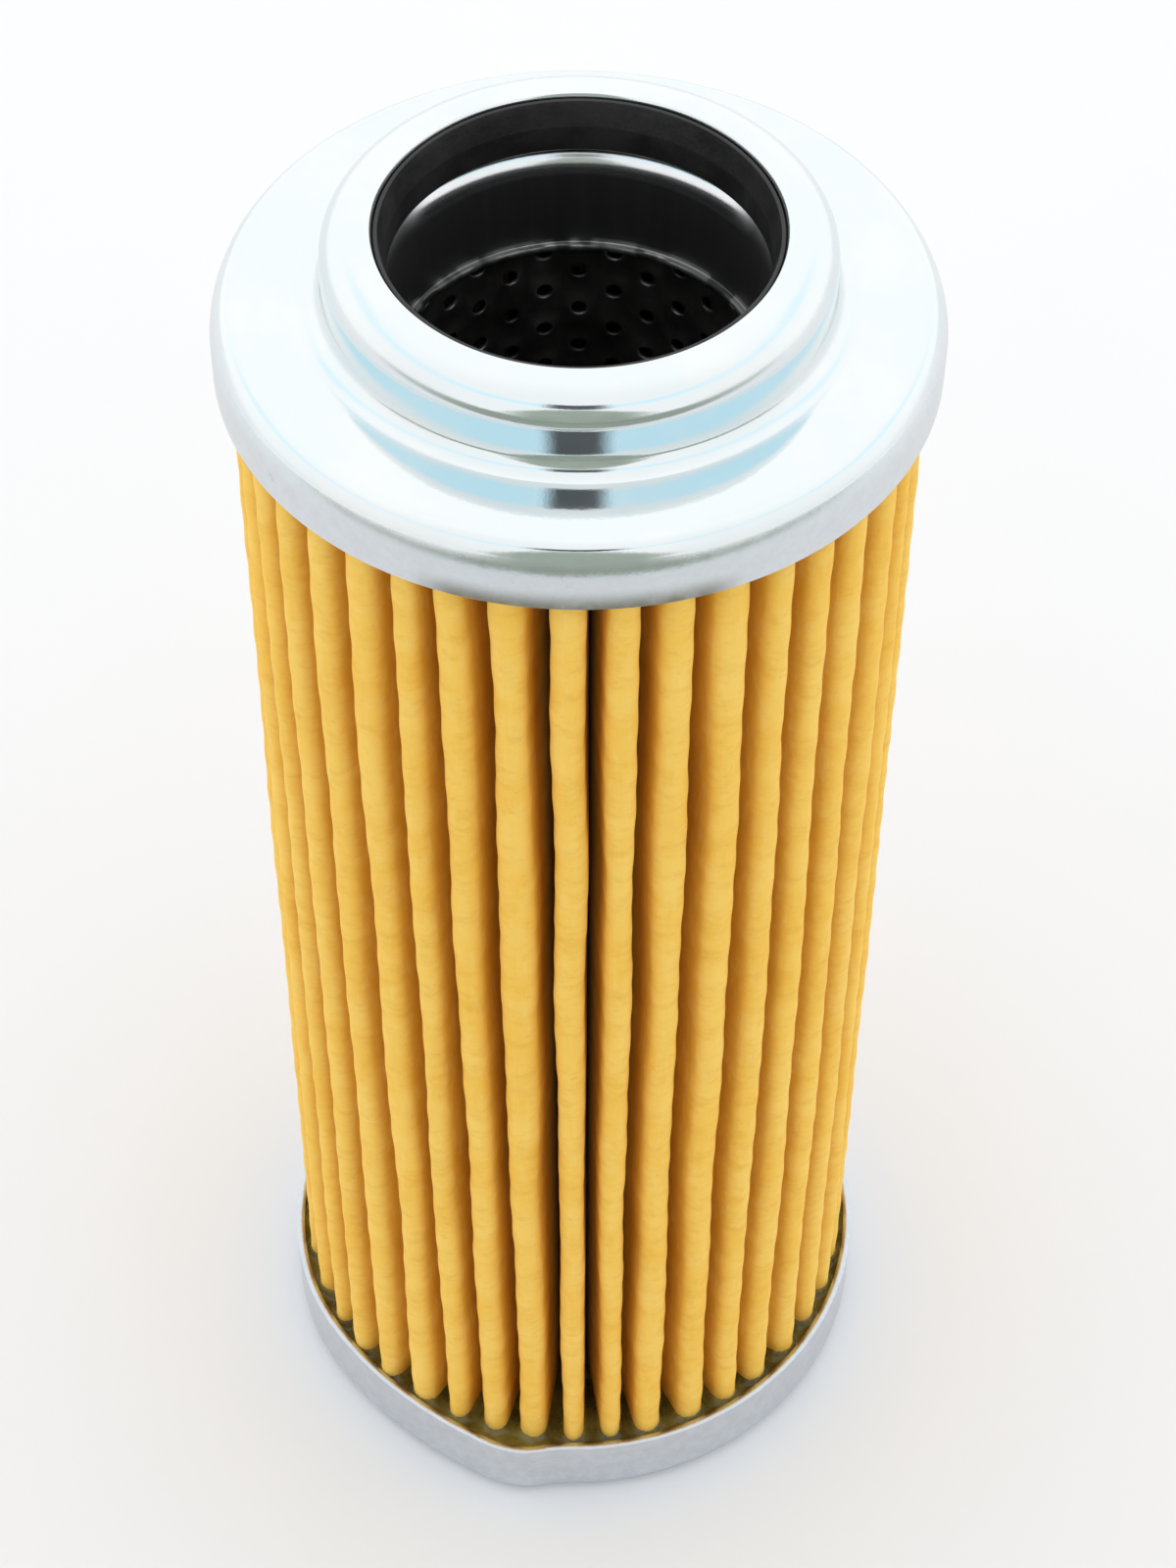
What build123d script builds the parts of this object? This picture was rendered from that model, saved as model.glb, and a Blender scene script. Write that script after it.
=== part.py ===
from build123d import *
from itertools import pairwise
from math import acos, cos, degrees, radians, sin
import os

os.makedirs("parts", exist_ok=True)

# A pleated hydraulic filter element. It stands on the flat of its bottom cap, with its axis
# along Z and the damaged stretch of the bottom rim facing -Y. All sizes are in millimetres.
# An azimuth is in degrees from -Y, towards +X.

# Both end caps, pressed from steel sheet
cap_diameter = 52.0
element_height = 126.6
cap_sheet = 0.7
cap_corner = 1.7
top_skirt = 5.2
bottom_skirt = 7.2

# Rubber seal in the collar, which grips a spigot in its bore
seal_bore = 27.0
seal_land = 2.0
seal_lead_in = 0.45
seal_lip_wall = 0.3
seal_lip = 0.5
seal_chamfer = 0.4
seal_height = 3.9
seal_clearance = 0.1

# Collar pressed up out of the top cap and rolled in over the seal
collar_height = 6.0
collar_flat = 0.45
shoulder_radius = 3.3
foot_bend = 1.6

# Pressed ring under the seal, with a neck that lines up the centre tube and a lip at the
# neck's end that stops the spigot
spigot_clearance = 0.15
neck_length = 8.4
neck_sheet = 0.5
neck_bend = 2.0
stop_lip = 0.5

# Perforated centre tube, slipped over the neck
tube_sheet = 0.4
tube_clearance = 0.1
tube_drop = 2.4
hole_diameter = 5.0
holes_around = 6
hole_rows = 7
hole_margin = 12.0

# Pleated paper pack round the tube
pleat_count = 40
paper = 0.6
ridge_width = 2.34
skirt_clearance = 0.45
pack_clearance = 0.1

# Glued joint between the two ends of the paper, at the back of the element
seam_gap = 0.3
seam_depth = 6.0

# Adhesive that fills each cap up to this far inside the edge of its skirt
adhesive_drop = 1.0

# Damage to the bottom rim: where the wall leaves the true circle and comes back to it, and
# how far it stands out at each azimuth between
damage_start = -72
damage_end = 4
damage = [(-48, -0.35), (-33, -0.2), (-22, 0.3), (-15, 0.8), (-9, 0.75), (-4, 0.15)]

# Radii and heights that follow
cap_radius = cap_diameter / 2
cap_inside = cap_radius - cap_sheet
flange_top = element_height - collar_height
flange_underside = flange_top - cap_sheet
top_edge = flange_top - top_skirt
lip_radius = seal_bore / 2 + seal_lead_in + seal_lip_wall
opening_radius = lip_radius + seal_clearance
crease_radius = opening_radius + collar_flat + shoulder_radius
crease_height = element_height - shoulder_radius
seal_radius = crease_radius - cap_sheet - seal_clearance
seal_top = element_height - cap_sheet - seal_clearance
seal_seat = seal_top - seal_height
neck_radius = seal_bore / 2 + spigot_clearance
neck_end = seal_seat - neck_length
tube_inside = neck_radius + neck_sheet + tube_clearance
tube_outside = tube_inside + tube_sheet
tube_top = seal_seat - tube_drop
bottom_glue_top = bottom_skirt - adhesive_drop
top_glue_bottom = top_edge + adhesive_drop
pack_height = top_glue_bottom - bottom_glue_top


def at_azimuth(radius, azimuth):
    """The point of a plan view at this radius and azimuth."""
    return Vector(radius * sin(radians(azimuth)), -radius * cos(radians(azimuth)))


# Top cap ------------------------------------------------------------------------------------
with BuildPart() as top_cap:
    with BuildSketch(Plane.XZ):
        with BuildLine():
            wall = FilletPolyline(
                (cap_radius, top_edge),
                (cap_radius, flange_top),
                (crease_radius, flange_top),
                (crease_radius, crease_height),
                radius=(cap_corner, foot_bend),
            )
            shoulder = JernArc(wall @ 1, (0, 1), shoulder_radius, 90)
            Line(shoulder @ 1, (opening_radius, element_height))
            offset(amount=cap_sheet, side=Side.LEFT, kind=Kind.INTERSECTION)
        make_face()
    revolve(axis=Axis.Z)


# Bottom cap ---------------------------------------------------------------------------------
def damaged_ring(inset):
    """Closed outline of the bottom skirt, this far inside its outer face."""
    radius = cap_radius - inset
    with BuildLine() as outline:
        sound = CenterArc((0, 0), radius, damage_end - 90, 360 - damage_end + damage_start)
        dented = [at_azimuth(radius + stand_out, azimuth) for azimuth, stand_out in damage]
        Spline(sound @ 1, *dented, sound @ 0, tangents=(sound % 1, sound % 0))
    return outline.line


with BuildPart() as bottom_cap:
    with BuildSketch():
        add(damaged_ring(0))
        make_face()
    extrude(amount=bottom_skirt)
    fillet(edges().group_by(Axis.Z)[0], cap_corner)
    with BuildSketch(Plane.XY.offset(cap_sheet)):
        add(damaged_ring(cap_sheet))
        make_face()
    extrude(amount=bottom_skirt, mode=Mode.SUBTRACT)
    fillet(edges().filter_by_position(Axis.Z, cap_sheet, cap_sheet), cap_corner - cap_sheet)


# Seal ---------------------------------------------------------------------------------------
land_top = seal_seat + seal_chamfer + seal_land
crown_radius = shoulder_radius - cap_sheet - seal_clearance

with BuildPart() as seal_ring:
    with BuildSketch(Plane.XZ):
        with BuildLine():
            inner = Polyline(
                (seal_radius, seal_seat),
                (seal_bore / 2 + seal_chamfer, seal_seat),
                (seal_bore / 2, seal_seat + seal_chamfer),
                (seal_bore / 2, land_top),
                (seal_bore / 2 + seal_lead_in, seal_top + seal_lip),
                (lip_radius, seal_top + seal_lip),
                (lip_radius, seal_top),
                (seal_radius - crown_radius, seal_top),
            )
            crown = JernArc(inner @ 1, (1, 0), crown_radius, -90)
            Line(crown @ 1, inner @ 0)
        make_face()
    revolve(axis=Axis.Z)


# Ring under the seal ------------------------------------------------------------------------
with BuildPart() as seal_seat_ring:
    with BuildSketch(Plane.XZ):
        with BuildLine():
            neck = FilletPolyline(
                (seal_radius, seal_seat),
                (neck_radius, seal_seat),
                (neck_radius, neck_end),
                radius=neck_bend,
            )
            Line(neck @ 1, (neck_radius - stop_lip, neck_end))
            offset(amount=neck_sheet, side=Side.LEFT, kind=Kind.INTERSECTION)
        make_face()
    revolve(axis=Axis.Z)


# Centre tube --------------------------------------------------------------------------------
def hole_planes():
    """A plane on the tube at each hole, facing out, with every other row turned half a step."""
    row_step = (tube_top - cap_sheet - 2 * hole_margin) / (hole_rows - 1)
    for row in range(hole_rows):
        for place in range(holes_around):
            azimuth = 360 / holes_around * (place + row % 2 / 2)
            outward = at_azimuth(1, azimuth)
            centre = outward * tube_outside + Vector(0, 0, cap_sheet + hole_margin + row * row_step)
            yield Plane(origin=centre, z_dir=outward)


with BuildPart() as core_tube:
    with BuildSketch(Plane.XY.offset(cap_sheet)):
        Circle(tube_outside)
        Circle(tube_inside, mode=Mode.SUBTRACT)
    extrude(amount=tube_top - cap_sheet)
    with Locations(*hole_planes()):
        Hole(radius=hole_diameter / 2, depth=tube_inside)


# Paper pack ---------------------------------------------------------------------------------
pleat_step = 360 / pleat_count
ridge_bend = (ridge_width - paper) / 2
root_bend = paper / 2
ridge_centre = cap_inside - skirt_clearance - ridge_width / 2
root_centre = tube_outside + pack_clearance + paper
seam_bend = (seam_gap + paper) / 2
seam_ridge = pleat_count // 2


def ridge_azimuth(ridge):
    """Ridges stand nearly evenly, and each leans a little towards one neighbour."""
    turn = radians(ridge * pleat_step)
    drift = 0.05 * cos(11 * turn) - 0.04 * cos(3 * turn - 0.6) - 0.1
    return pleat_step * (ridge + drift)


def folds():
    """The folds from one end of the paper to the other. Each is the centre of its bend, the
    radius of the bend to the middle of the paper, and 1 for a ridge or -1 for a root. The first
    and the last stand for the two ends, which lie side by side in the ridge at the back."""
    last = seam_ridge + pleat_count
    for ridge in range(seam_ridge, last + 1):
        azimuth = ridge_azimuth(ridge)
        bend = seam_bend if ridge in (seam_ridge, last) else ridge_bend
        yield at_azimuth(ridge_centre, azimuth), bend, 1
        if ridge < last:
            between = (azimuth + ridge_azimuth(ridge + 1)) / 2
            yield at_azimuth(root_centre, between), root_bend, -1


def flank(fold, next_fold):
    """The flat between two folds: its two ends at the middle of the paper, and the direction
    across it that faces out of the pack."""
    centre, bend, kind = fold
    next_centre, next_bend, _ = next_fold
    run = next_centre - centre
    turn = degrees(acos((bend + next_bend) / run.length))
    across = run.normalized().rotate(Axis.Z, -kind * turn)
    return centre + across * bend, next_centre - across * next_bend, across * kind


def paper_side(side):
    """Draws one side of the paper: 1 is the side that faces out of the pack, -1 the other. At a
    root the paper is folded flat on itself, so its outer side meets in a crease with no arc."""
    shift = side * paper / 2
    for start, end, outward in flanks:
        Line(start + outward * shift, end + outward * shift)
    for (centre, bend, kind), (before, after) in zip(all_folds[1:-1], pairwise(flanks)):
        if kind == 1 or side == -1:
            tip = centre + centre.normalized() * kind * (bend + kind * shift)
            ThreePointArc(before[1] + before[2] * shift, tip, after[0] + after[2] * shift)


def paper_end(point, outward):
    """Draws a cut end of the paper."""
    Line(point + outward * paper / 2, point - outward * paper / 2)


all_folds = list(folds())
flanks = [flank(fold, next_fold) for fold, next_fold in pairwise(all_folds)]

with BuildPart() as media_pack:
    with BuildSketch(Plane.XY.offset(bottom_glue_top)):
        with BuildLine():
            paper_side(1)
            paper_side(-1)
            paper_end(flanks[0][0], flanks[0][2])
            paper_end(flanks[-1][1], flanks[-1][2])
        make_face()
    extrude(amount=pack_height)


# Glue between the ends of the paper ---------------------------------------------------------
def seam_face(end_point, inner_point, outward):
    """The stretch of a flank's inside face that the glue covers, from the end of the paper."""
    edge = end_point - outward * paper / 2
    inward = (inner_point - end_point).normalized()
    return edge, edge + inward * seam_depth


with BuildPart() as side_seam:
    with BuildSketch(Plane.XY.offset(bottom_glue_top)):
        with BuildLine():
            near, near_deep = seam_face(*flanks[0])
            far, far_deep = seam_face(flanks[-1][1], flanks[-1][0], flanks[-1][2])
            Polyline(near, near_deep, far_deep, far, close=True)
        make_face()
    extrude(amount=pack_height)


# Adhesive in the caps -----------------------------------------------------------------------
inner_corner = cap_corner - cap_sheet

with BuildPart() as bottom_adhesive:
    with BuildSketch(Plane.XY.offset(cap_sheet)):
        add(damaged_ring(cap_sheet))
        make_face()
    extrude(amount=bottom_glue_top - cap_sheet)
    chamfer(edges().group_by(Axis.Z)[0], inner_corner)
    with BuildSketch(Plane.XY.offset(cap_sheet)):
        Circle(tube_outside)
    extrude(amount=bottom_glue_top, mode=Mode.SUBTRACT)

with BuildPart() as top_adhesive:
    with BuildSketch(Plane.XZ):
        with BuildLine():
            plug = seal_seat - neck_sheet
            bore = neck_radius + neck_bend
            Polyline(
                (tube_outside, top_glue_bottom),
                (cap_inside, top_glue_bottom),
                (cap_inside, flange_underside - inner_corner),
                (cap_inside - inner_corner, flange_underside),
                (seal_radius, flange_underside),
                (seal_radius, plug),
                (bore, plug),
                (bore, tube_top),
                (tube_outside, tube_top),
                close=True,
            )
        make_face()
    revolve(axis=Axis.Z)


pieces = {
    "top_cap": top_cap,
    "bottom_cap": bottom_cap,
    "seal_ring": seal_ring,
    "seal_seat_ring": seal_seat_ring,
    "core_tube": core_tube,
    "media_pack": media_pack,
    "side_seam": side_seam,
    "top_adhesive": top_adhesive,
    "bottom_adhesive": bottom_adhesive,
}
for name, piece in pieces.items():
    piece.part.label = name
    export_step(piece.part, f"parts/{name}.step")
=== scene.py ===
from math import acos, cos, hypot, pi, radians, sin

import bpy
import numpy as np
from mathutils import Matrix, Vector


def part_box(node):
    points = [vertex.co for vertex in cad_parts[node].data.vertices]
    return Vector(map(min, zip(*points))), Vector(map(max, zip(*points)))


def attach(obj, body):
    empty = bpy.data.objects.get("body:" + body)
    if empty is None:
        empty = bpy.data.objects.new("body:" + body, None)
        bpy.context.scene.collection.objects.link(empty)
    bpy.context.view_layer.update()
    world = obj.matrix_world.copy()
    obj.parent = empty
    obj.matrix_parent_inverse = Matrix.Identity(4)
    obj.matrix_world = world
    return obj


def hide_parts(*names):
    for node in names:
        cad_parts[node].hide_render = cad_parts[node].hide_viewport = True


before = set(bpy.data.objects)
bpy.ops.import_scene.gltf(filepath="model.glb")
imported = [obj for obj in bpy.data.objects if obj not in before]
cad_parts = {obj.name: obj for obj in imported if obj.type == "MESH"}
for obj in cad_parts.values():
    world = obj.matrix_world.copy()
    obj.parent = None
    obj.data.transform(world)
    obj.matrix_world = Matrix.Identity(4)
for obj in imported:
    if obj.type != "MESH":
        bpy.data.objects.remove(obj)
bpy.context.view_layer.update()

# A pleated hydraulic filter element, standing on its bottom cap with its axis along Z. Section
# sizes are in millimetres, as (radius, height), and become metres in the meshes. An azimuth is
# in degrees from -Y, towards +X.
MM = 0.001


def section_box(node):
    """The largest radius of a round CAD node, and its lowest and highest point."""
    low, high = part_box(node)
    return round(high.x / MM, 2), round(low.z / MM, 2), round(high.z / MM, 2)


cap_radius, top_edge, element_height = section_box("top_cap")
_, _, bottom_edge = section_box("bottom_cap")
seal_radius, seal_seat, seal_lip_top = section_box("seal_ring")
tube_outside, tube_bottom, tube_top = section_box("core_tube")
_, neck_end, _ = section_box("seal_seat_ring")
_, pack_bottom, pack_top = section_box("media_pack")

# Caps and collar
cap_sheet = 0.7
cap_corner = 1.7
corner_bends = [(0, -1.88, 2.8), (-0.38, -0.85, 3.4), (-1.08, 0, 1.0)]
flange_top = element_height - 6.0
foot_bend = 1.6
crease_radius = 18.1
shoulder_radius = 2.4
opening_radius = 14.35

# Seal and the ring under it
seal_bore = 13.5
seal_crown = 2.5
land_top = seal_seat + 2.4
neck_radius = 13.65
neck_sheet = 0.5
neck_bend = 2.0
stop_lip = 0.5

# Tube, punched with staggered columns of holes
tube_sheet = 0.4
tube_columns = 34
holes_up = 32
punched_radius = 0.65

# Pleats
pleat_count = 40
paper = 0.6
ridge_bend = 0.87
root_bend = 0.3
seam_bend = 0.45
ridge_centre = cap_radius - cap_sheet - 0.45 - ridge_bend - paper / 2
root_centre = tube_outside + 0.1 + paper
pleat_step = 2 * pi / pleat_count

# Damage to the bottom rim: azimuths, and how far the wall stands out there
damage_azimuths = [-72, -48, -33, -22, -15, -9, -4, 4]
damage_depths = [0, -0.35, -0.2, 0.3, 0.8, 0.75, 0.15, 0]

# How far the visible caps stay inside the solid ones, and where the floor of the bottom cap
# stops following the damage of its wall
clearance = 0.02
still_radius, moving_width = 19, 5

# The adhesive's level below the bottom cap's edge
fill_below_edge = 1.0


# Nodes ---------------------------------------------------------------------------------------
class Graph:
    """Adds nodes to a tree. An input takes either the output of another node or a constant."""

    def __init__(self, tree):
        self.tree = tree

    def feed(self, socket, value):
        if isinstance(value, bpy.types.NodeSocket):
            self.tree.links.new(value, socket)
        else:
            socket.default_value = value

    def node(self, kind, inputs, **settings):
        made = self.tree.nodes.new(kind)
        for name, value in settings.items():
            setattr(made, name, value)
        for key, value in inputs.items():
            self.feed(made.inputs[key], value)
        return made

    def math(self, operation, *values):
        return self.node("ShaderNodeMath", dict(enumerate(values)), operation=operation).outputs[0]

    def vector_math(self, operation, *values):
        made = self.node("ShaderNodeVectorMath", dict(enumerate(values)), operation=operation)
        return made.outputs[0]

    def scale(self, vector, factor):
        made = self.node("ShaderNodeVectorMath", {0: vector, "Scale": factor}, operation="SCALE")
        return made.outputs[0]

    def ramp(self, value, start, end, low=0.0, high=1.0, smooth=True):
        """low before start, high after end, and an even or smooth change between them."""
        inputs = {"Value": value, 1: start, 2: end, 3: low, 4: high}
        kind = "SMOOTHSTEP" if smooth else "LINEAR"
        return self.node("ShaderNodeMapRange", inputs, interpolation_type=kind).outputs[0]

    def noise(self, vector, scale, detail=2.0, roughness=0.5):
        inputs = {"Vector": vector, "Scale": scale, "Detail": detail, "Roughness": roughness}
        return self.node("ShaderNodeTexNoise", inputs).outputs[0]

    def combine(self, x, y, z):
        return self.node("ShaderNodeCombineXYZ", {0: x, 1: y, 2: z}).outputs[0]

    def separate(self, vector):
        return self.node("ShaderNodeSeparateXYZ", {0: vector}).outputs

    def blend(self, factor, first, second, kind="MIX"):
        inputs = {0: factor, 6: first, 7: second}
        made = self.node("ShaderNodeMix", inputs, data_type="RGBA", blend_type=kind)
        return made.outputs[2]


class Finish(Graph):
    """A material: one shader, fed by patterns on the piece's own coordinates."""

    def __init__(self, name, **constants):
        self.material = bpy.data.materials.new(name)
        self.material.use_nodes = True
        super().__init__(self.material.node_tree)
        self.shader = self.tree.nodes["Principled BSDF"]
        for key, value in constants.items():
            self.shader.inputs[key.replace("_", " ")].default_value = value
        self.place = self.node("ShaderNodeTexCoord", {}).outputs["Object"]
        self.x, self.y, self.z = self.separate(self.place)
        self.radius = self.math("POWER", self.math("ADD", self.math("MULTIPLY", self.x, self.x),
                                                   self.math("MULTIPLY", self.y, self.y)), 0.5)

    def finish(self, colour, roughness, height, depth):
        """height is a pattern from 0 to 1, and depth how deep it is, in metres."""
        self.feed(self.shader.inputs["Base Color"], colour)
        self.feed(self.shader.inputs["Roughness"], roughness)
        bump = self.node("ShaderNodeBump", {"Height": height, "Distance": depth, "Strength": 1.0})
        self.feed(self.shader.inputs["Normal"], bump.outputs[0])
        return self.material


def colour(red, green, blue):
    return (red, green, blue, 1.0)


# Finishes ------------------------------------------------------------------------------------
def zinc_finish(name, bright, satin, bright_above, shaded_below):
    """Zinc plate, polished by the press above a height and left satin below it. Its bends are
    less polished to the left and right, and the front of the wall has painted shade, in
    patches, below another height."""
    zinc = Finish(name, Metallic=1.0)
    drift = zinc.noise(zinc.place, 140.0, 3.0)
    satin_share = zinc.ramp(zinc.math("ADD", zinc.z, zinc.math("MULTIPLY", drift, 0.0006)),
                            bright_above - 0.0006, bright_above + 0.0018, 1.0, 0.0)
    cloud = zinc.noise(zinc.place, 90.0, 4.0, 0.6)
    spangle = zinc.noise(zinc.place, 900.0, 3.0, 0.7)
    grain = zinc.noise(zinc.place, 3200.0, 2.0, 0.6)
    tinted = zinc.blend(zinc.ramp(cloud, 0.35, 0.65), bright, colour(0.785, 0.815, 0.82))
    dull = zinc.blend(zinc.ramp(spangle, 0.3, 0.72), satin, zinc.blend(
        0.4, satin, colour(0.80, 0.83, 0.86)))
    pits = zinc.ramp(zinc.noise(zinc.place, 420.0, 4.0, 0.65), 0.67, 0.74)
    dull = zinc.blend(zinc.math("MULTIPLY", pits, 0.35), dull, colour(0.25, 0.28, 0.31))
    # Painted shade, in noisy patches, along the front of the wall near its lower edge.
    painted_dark_front = zinc.ramp(zinc.y, -(cap_radius - 2.8) * MM, -(cap_radius - 1.2) * MM)
    painted_shade_at = zinc.math("MULTIPLY", zinc.ramp(zinc.z, shaded_below, shaded_below - 0.0019),
                         painted_dark_front)
    shade_patches = zinc.ramp(zinc.noise(zinc.place, 330.0, 4.0, 0.6), 0.25, 0.60, 0.6, 1.0)
    dull = zinc.blend(zinc.math("MULTIPLY", zinc.math("MULTIPLY", shade_patches, painted_shade_at), 0.9), dull,
                      colour(0.17, 0.165, 0.11))
    base = zinc.blend(satin_share, tinted, dull)
    polish = zinc.ramp(cloud, 0.3, 0.7, 0.045, 0.085)
    corner = zinc.ramp(zinc.radius, (cap_radius - 2.4) * MM, (cap_radius - 1.6) * MM)
    shoulder = zinc.ramp(zinc.z, (element_height - 2.2) * MM, (element_height - 1.6) * MM)
    foot = zinc.math("MULTIPLY", zinc.ramp(zinc.radius, (crease_radius - 0.1) * MM,
                                           (crease_radius + 0.3) * MM),
                     zinc.ramp(zinc.radius, (crease_radius + 2.1) * MM,
                               (crease_radius + 1.5) * MM))
    bends = zinc.math("MAXIMUM", corner, zinc.math("MAXIMUM", shoulder, foot))
    aside = zinc.ramp(zinc.math("ABSOLUTE", zinc.x), 0.005, 0.010, 0.0, 0.16)
    polish = zinc.math("ADD", polish, zinc.math("MULTIPLY", bends, aside))
    matt = zinc.ramp(spangle, 0.25, 0.75, 0.30, 0.42)
    bright_share = zinc.math("SUBTRACT", 1.0, satin_share)
    rough = zinc.math("ADD", zinc.math("MULTIPLY", polish, bright_share),
                      zinc.math("MULTIPLY", matt, satin_share))
    relief = zinc.math("MULTIPLY", zinc.math("ADD", zinc.math("MULTIPLY", spangle, 0.6),
                                             zinc.math("MULTIPLY", grain, 0.4)),
                       zinc.ramp(satin_share, 0.0, 1.0, 0.12, 1.0))
    return zinc.finish(base, rough, relief, 0.00004)


def seal_rubber_finish():
    rubber = Finish("seal_rubber", **{"Specular_IOR_Level": 0.45})
    bloom = rubber.noise(rubber.place, 260.0, 4.0, 0.6)
    grain = rubber.noise(rubber.place, 2600.0, 2.0)
    base = rubber.blend(rubber.ramp(bloom, 0.35, 0.7), colour(0.014, 0.014, 0.014),
                        colour(0.026, 0.026, 0.026))
    return rubber.finish(base, rubber.ramp(bloom, 0.3, 0.7, 0.40, 0.52), grain, 0.00003)


def inner_steel_finish():
    """Pressed steel: a painted highlight at the back of its bend, painted shade down the neck,
    and a broken painted glint along the stop at its end.
    """
    steel = Finish("inner_steel", Metallic=1.0)
    draw = steel.noise(steel.vector_math("MULTIPLY", steel.place, (900.0, 900.0, 60.0)), 1.0, 3.0)
    # Painted highlight on the back half of the bend; the darker tone elsewhere is painted shade.
    depth = steel.math("MULTIPLY", steel.ramp(steel.z, 0.1197, 0.1207),
                       steel.ramp(steel.y, 0.0060, 0.0095))
    neck_shade = steel.blend(draw, colour(0.135, 0.135, 0.135), colour(0.19, 0.19, 0.19))
    highlight_tone = steel.blend(draw, colour(0.72, 0.74, 0.75), colour(0.84, 0.85, 0.86))
    # Painted glint, broken up by noise, along the stop at the neck's end.
    glint_beads = steel.ramp(steel.noise(steel.place, 520.0, 1.0), 0.42, 0.56)
    lip_glint = steel.math("MULTIPLY", glint_beads, steel.ramp(steel.z, 0.1140, 0.1137))
    neck_shade = steel.blend(lip_glint, neck_shade, colour(0.42, 0.42, 0.415))
    rough = steel.ramp(depth, 0.0, 1.0, 0.5, 0.2)
    return steel.finish(steel.blend(depth, neck_shade, highlight_tone), rough, draw, 0.00001)


def tube_steel_finish():
    steel = Finish("tube_steel", Metallic=0.85)
    film = steel.noise(steel.place, 300.0, 4.0, 0.6)
    grain = steel.noise(steel.vector_math("MULTIPLY", steel.place, (2400.0, 2400.0, 500.0)), 1.0)
    base = steel.blend(film, colour(0.060, 0.060, 0.058), colour(0.150, 0.150, 0.145))
    rim = steel.node("ShaderNodeAttribute", {}, attribute_name="rim").outputs["Fac"]
    # Painted glint on patches of the holes' rims.
    patches = steel.ramp(steel.noise(steel.place, 330.0, 1.0), 0.50, 0.62)
    rim_glint = steel.math("MULTIPLY", rim, patches)
    base = steel.blend(rim_glint, base, colour(0.32, 0.32, 0.315))
    return steel.finish(base, steel.ramp(film, 0.3, 0.7, 0.38, 0.6), grain, 0.00002)


def filter_paper_finish():
    """Resin-soaked paper: long pale fibres over gold, a painted highlight on the ridges and
    painted shade on the flanks, and more painted shade that turns it browner towards the roots
    and near-black at the tube."""
    sheet = Finish("filter_paper", **{"Specular_IOR_Level": 0.22})
    across = sheet.vector_math("MULTIPLY", sheet.place, (1500.0, 1500.0, 420.0))
    fibres = sheet.noise(across, 1.0, 4.0, 0.65)
    cloud = sheet.noise(sheet.place, 160.0, 3.0, 0.55)
    fleck = sheet.noise(sheet.place, 1100.0, 3.0, 0.7)
    creases = sheet.noise(sheet.vector_math("MULTIPLY", sheet.place, (420.0, 420.0, 900.0)), 1.0,
                          4.0, 0.7)
    # Painted light: a paler gold on the ridges' outer faces as painted highlight, and a darker
    # orange on the flanks behind them as painted shade.
    outer = sheet.ramp(sheet.math("ADD", sheet.radius, sheet.math("MULTIPLY", creases, 0.0007)),
                       0.0233, 0.0253)
    ridge = sheet.blend(sheet.ramp(cloud, 0.32, 0.68), colour(0.95, 0.565, 0.082),
                        colour(0.97, 0.63, 0.125))
    flank = sheet.blend(sheet.ramp(cloud, 0.32, 0.68), colour(0.765, 0.39, 0.029),
                        colour(0.825, 0.445, 0.046))
    base = sheet.blend(outer, flank, ridge)
    base = sheet.blend(sheet.ramp(fibres, 0.42, 0.75, 0.0, 0.28), base, colour(0.98, 0.73, 0.26))
    base = sheet.blend(sheet.ramp(fleck, 0.62, 0.78, 0.0, 0.30), base, colour(0.68, 0.34, 0.04))
    base = sheet.blend(sheet.ramp(creases, 0.55, 0.25, 0.0, 0.40), base, colour(0.80, 0.42, 0.045))
    # Painted shade deep in the folds: browner towards the roots and near-black by the tube.
    base = sheet.blend(sheet.ramp(sheet.radius, 0.0216, 0.0163), base, colour(0.22, 0.075, 0.01))
    base = sheet.blend(sheet.ramp(sheet.radius, 0.0172, 0.0152), base, colour(0.04, 0.02, 0.008))
    relief = sheet.math("MULTIPLY", fibres, 0.3)
    relief = sheet.math("ADD", relief, sheet.math("MULTIPLY", fleck, 0.2))
    relief = sheet.math("ADD", relief, sheet.math("MULTIPLY", creases, 0.3))
    return sheet.finish(base, sheet.ramp(fibres, 0.3, 0.7, 0.62, 0.85), relief, 0.00012)


def seam_glue_finish():
    glue = Finish("seam_glue", **{"Specular_IOR_Level": 0.5})
    swirl = glue.noise(glue.place, 500.0, 3.0)
    base = glue.blend(swirl, colour(0.42, 0.27, 0.06), colour(0.62, 0.45, 0.16))
    return glue.finish(base, glue.ramp(swirl, 0.3, 0.7, 0.25, 0.4), swirl, 0.00006)


def cap_adhesive_finish():
    glue = Finish("cap_adhesive", **{"Specular_IOR_Level": 0.5})
    swirl = glue.noise(glue.place, 420.0, 4.0, 0.6)
    base = glue.blend(glue.ramp(swirl, 0.3, 0.7), colour(0.085, 0.068, 0.012),
                      colour(0.22, 0.175, 0.035))
    return glue.finish(base, glue.ramp(swirl, 0.3, 0.7, 0.22, 0.38), swirl, 0.00008)


# Lathed pieces -------------------------------------------------------------------------------
def rounded(corners, steps=8):
    """A line through (radius, height, bend radius) corners, each one rounded off."""
    points = []
    for index, (r, z, bend) in enumerate(corners):
        if bend == 0:
            points.append((r, z))
            continue
        here = Vector((r, z))
        back = (Vector(corners[index - 1][:2]) - here).normalized()
        ahead = (Vector(corners[index + 1][:2]) - here).normalized()
        half = back.angle(ahead) / 2
        centre = here + (back + ahead).normalized() * bend / sin(half)
        reach = bend * cos(half) / sin(half)
        first, last = here + back * reach - centre, here + ahead * reach - centre
        for step in range(steps + 1):
            points.append(tuple(centre + first.slerp(last, step / steps) * bend))
    return points


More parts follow.
